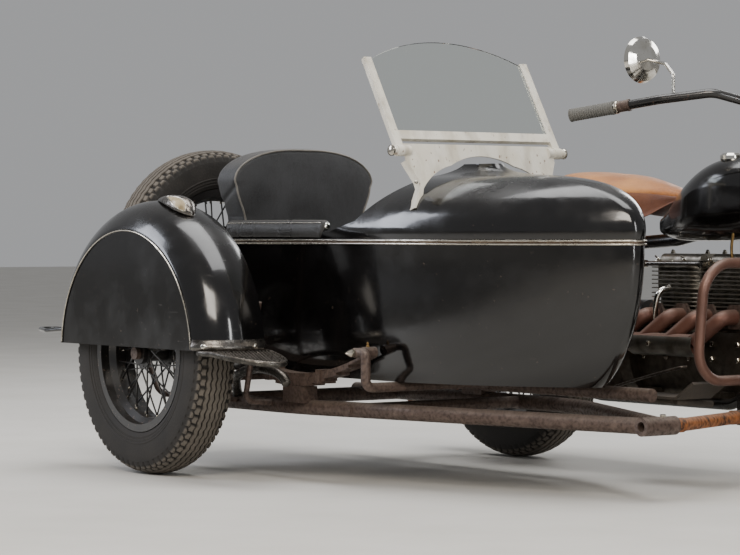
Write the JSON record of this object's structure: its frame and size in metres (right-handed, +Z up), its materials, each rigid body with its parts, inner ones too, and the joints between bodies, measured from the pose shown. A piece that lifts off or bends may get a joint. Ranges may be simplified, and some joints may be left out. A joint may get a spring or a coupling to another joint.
{
  "type": "sidecar motorcycle",
  "caption": "Motorcycle with a finned in-line engine and laced wheels, joined to a boat-shaped passenger sidecar on leaf springs.",
  "frame": {"origin": "on the floor, under the middle of the whole vehicle's box", "axes": "+X forward, +Y to the motorcycle's left, +Z up"},
  "size_m": [2.6649, 1.7281, 1.2075],
  "materials": {
    "tyre_rubber": "dusty",
    "wheel_paint": "worn gloss",
    "body_paint": "gloss",
    "cream_paint": "worn",
    "chrome": "polished",
    "leather_dark": "soft",
    "leather_tan": "worn",
    "rail_vinyl": "smooth",
    "glass": "clear",
    "lamp_glass": "clear",
    "rusty_steel": "rusty",
    "frame_paint": "worn",
    "engine_alloy": "cast",
    "exhaust_steel": "heat tinted",
    "shield_steel": "dull",
    "board_rubber": "ribbed",
    "grip_rubber": "worn",
    "chain_steel": "oiled",
    "mirror_shell": "polished"
  },
  "bodies": {
    "chassis": {"belt_moulding": "chrome", "body_brackets": "rusty_steel", "chassis_links": "rusty_steel", "cockpit_rail": "rail_vinyl", "crankcase": "engine_alloy", "crash_bar": "rusty_steel", "cylinder_blocks": "engine_alloy", "cylinder_heads": "engine_alloy", "drive_chain": "chain_steel", "exhaust": "exhaust_steel", "fender_step": "chrome", "footboards": "board_rubber", "fuel_tank": "body_paint", "generator": "frame_paint", "heat_shield": "shield_steel", "intake": "engine_alloy", "kick_starter": "chain_steel", "leaf_springs": "rusty_steel", "marker_lamp": "chrome", "motorcycle_frame": "frame_paint", "plunger_springs": "frame_paint", "rear_deck": "body_paint", "rear_fender": "body_paint", "saddle": "leather_tan", "seat_back": "leather_dark", "seat_cushion": "leather_dark", "sidecar_chassis": "rusty_steel", "sidecar_cowl": "body_paint", "sidecar_fender": "body_paint", "sidecar_tub": "body_paint", "spare_carrier": "frame_paint", "spare_tyre": "tyre_rubber", "spare_wheel": "wheel_paint", "tail_lamp": "chrome", "tank_caps": "chrome", "windscreen_bracket": "cream_paint"},
    "steering": {"fork": "frame_paint", "front_spring": "frame_paint", "front_fender": "body_paint", "headlamp": "body_paint", "headlamp_lens": "lamp_glass", "handlebar": "frame_paint", "grips": "grip_rubber", "mirror": "mirror_shell"},
    "front_wheel": {"front_tyre": "tyre_rubber", "front_wheel": "wheel_paint"},
    "rear_wheel": {"rear_tyre": "tyre_rubber", "rear_wheel": "wheel_paint"},
    "sidecar_wheel": {"sidecar_tyre": "tyre_rubber", "sidecar_wheel": "wheel_paint"},
    "windscreen": {"windscreen_frame": "cream_paint", "windscreen_glass": "glass"}
  },
  "joints": [
    {"name": "steering_turn", "type": "hinge", "parent": "chassis", "child": "steering", "pos_m": [0.607, 0.44, 0.85], "axis": [-0.454, 0, 0.891], "range_deg": [-35, 35]},
    {"name": "front_wheel_spin", "type": "hinge", "parent": "steering", "child": "front_wheel", "pos_m": [0.95, 0.44, 0.338], "axis": [0, 1, 0], "continuous": true},
    {"name": "rear_wheel_spin", "type": "hinge", "parent": "chassis", "child": "rear_wheel", "pos_m": [-0.6, 0.44, 0.338], "axis": [0, 1, 0], "continuous": true},
    {"name": "sidecar_wheel_spin", "type": "hinge", "parent": "chassis", "child": "sidecar_wheel", "pos_m": [-0.75, -0.76, 0.338], "axis": [0, 1, 0], "continuous": true},
    {"name": "windscreen_tilt", "type": "hinge", "parent": "chassis", "child": "windscreen", "pos_m": [0.053, -0.238, 0.89], "axis": [0, 1, 0], "range_deg": [-10, 28]}
  ]
}
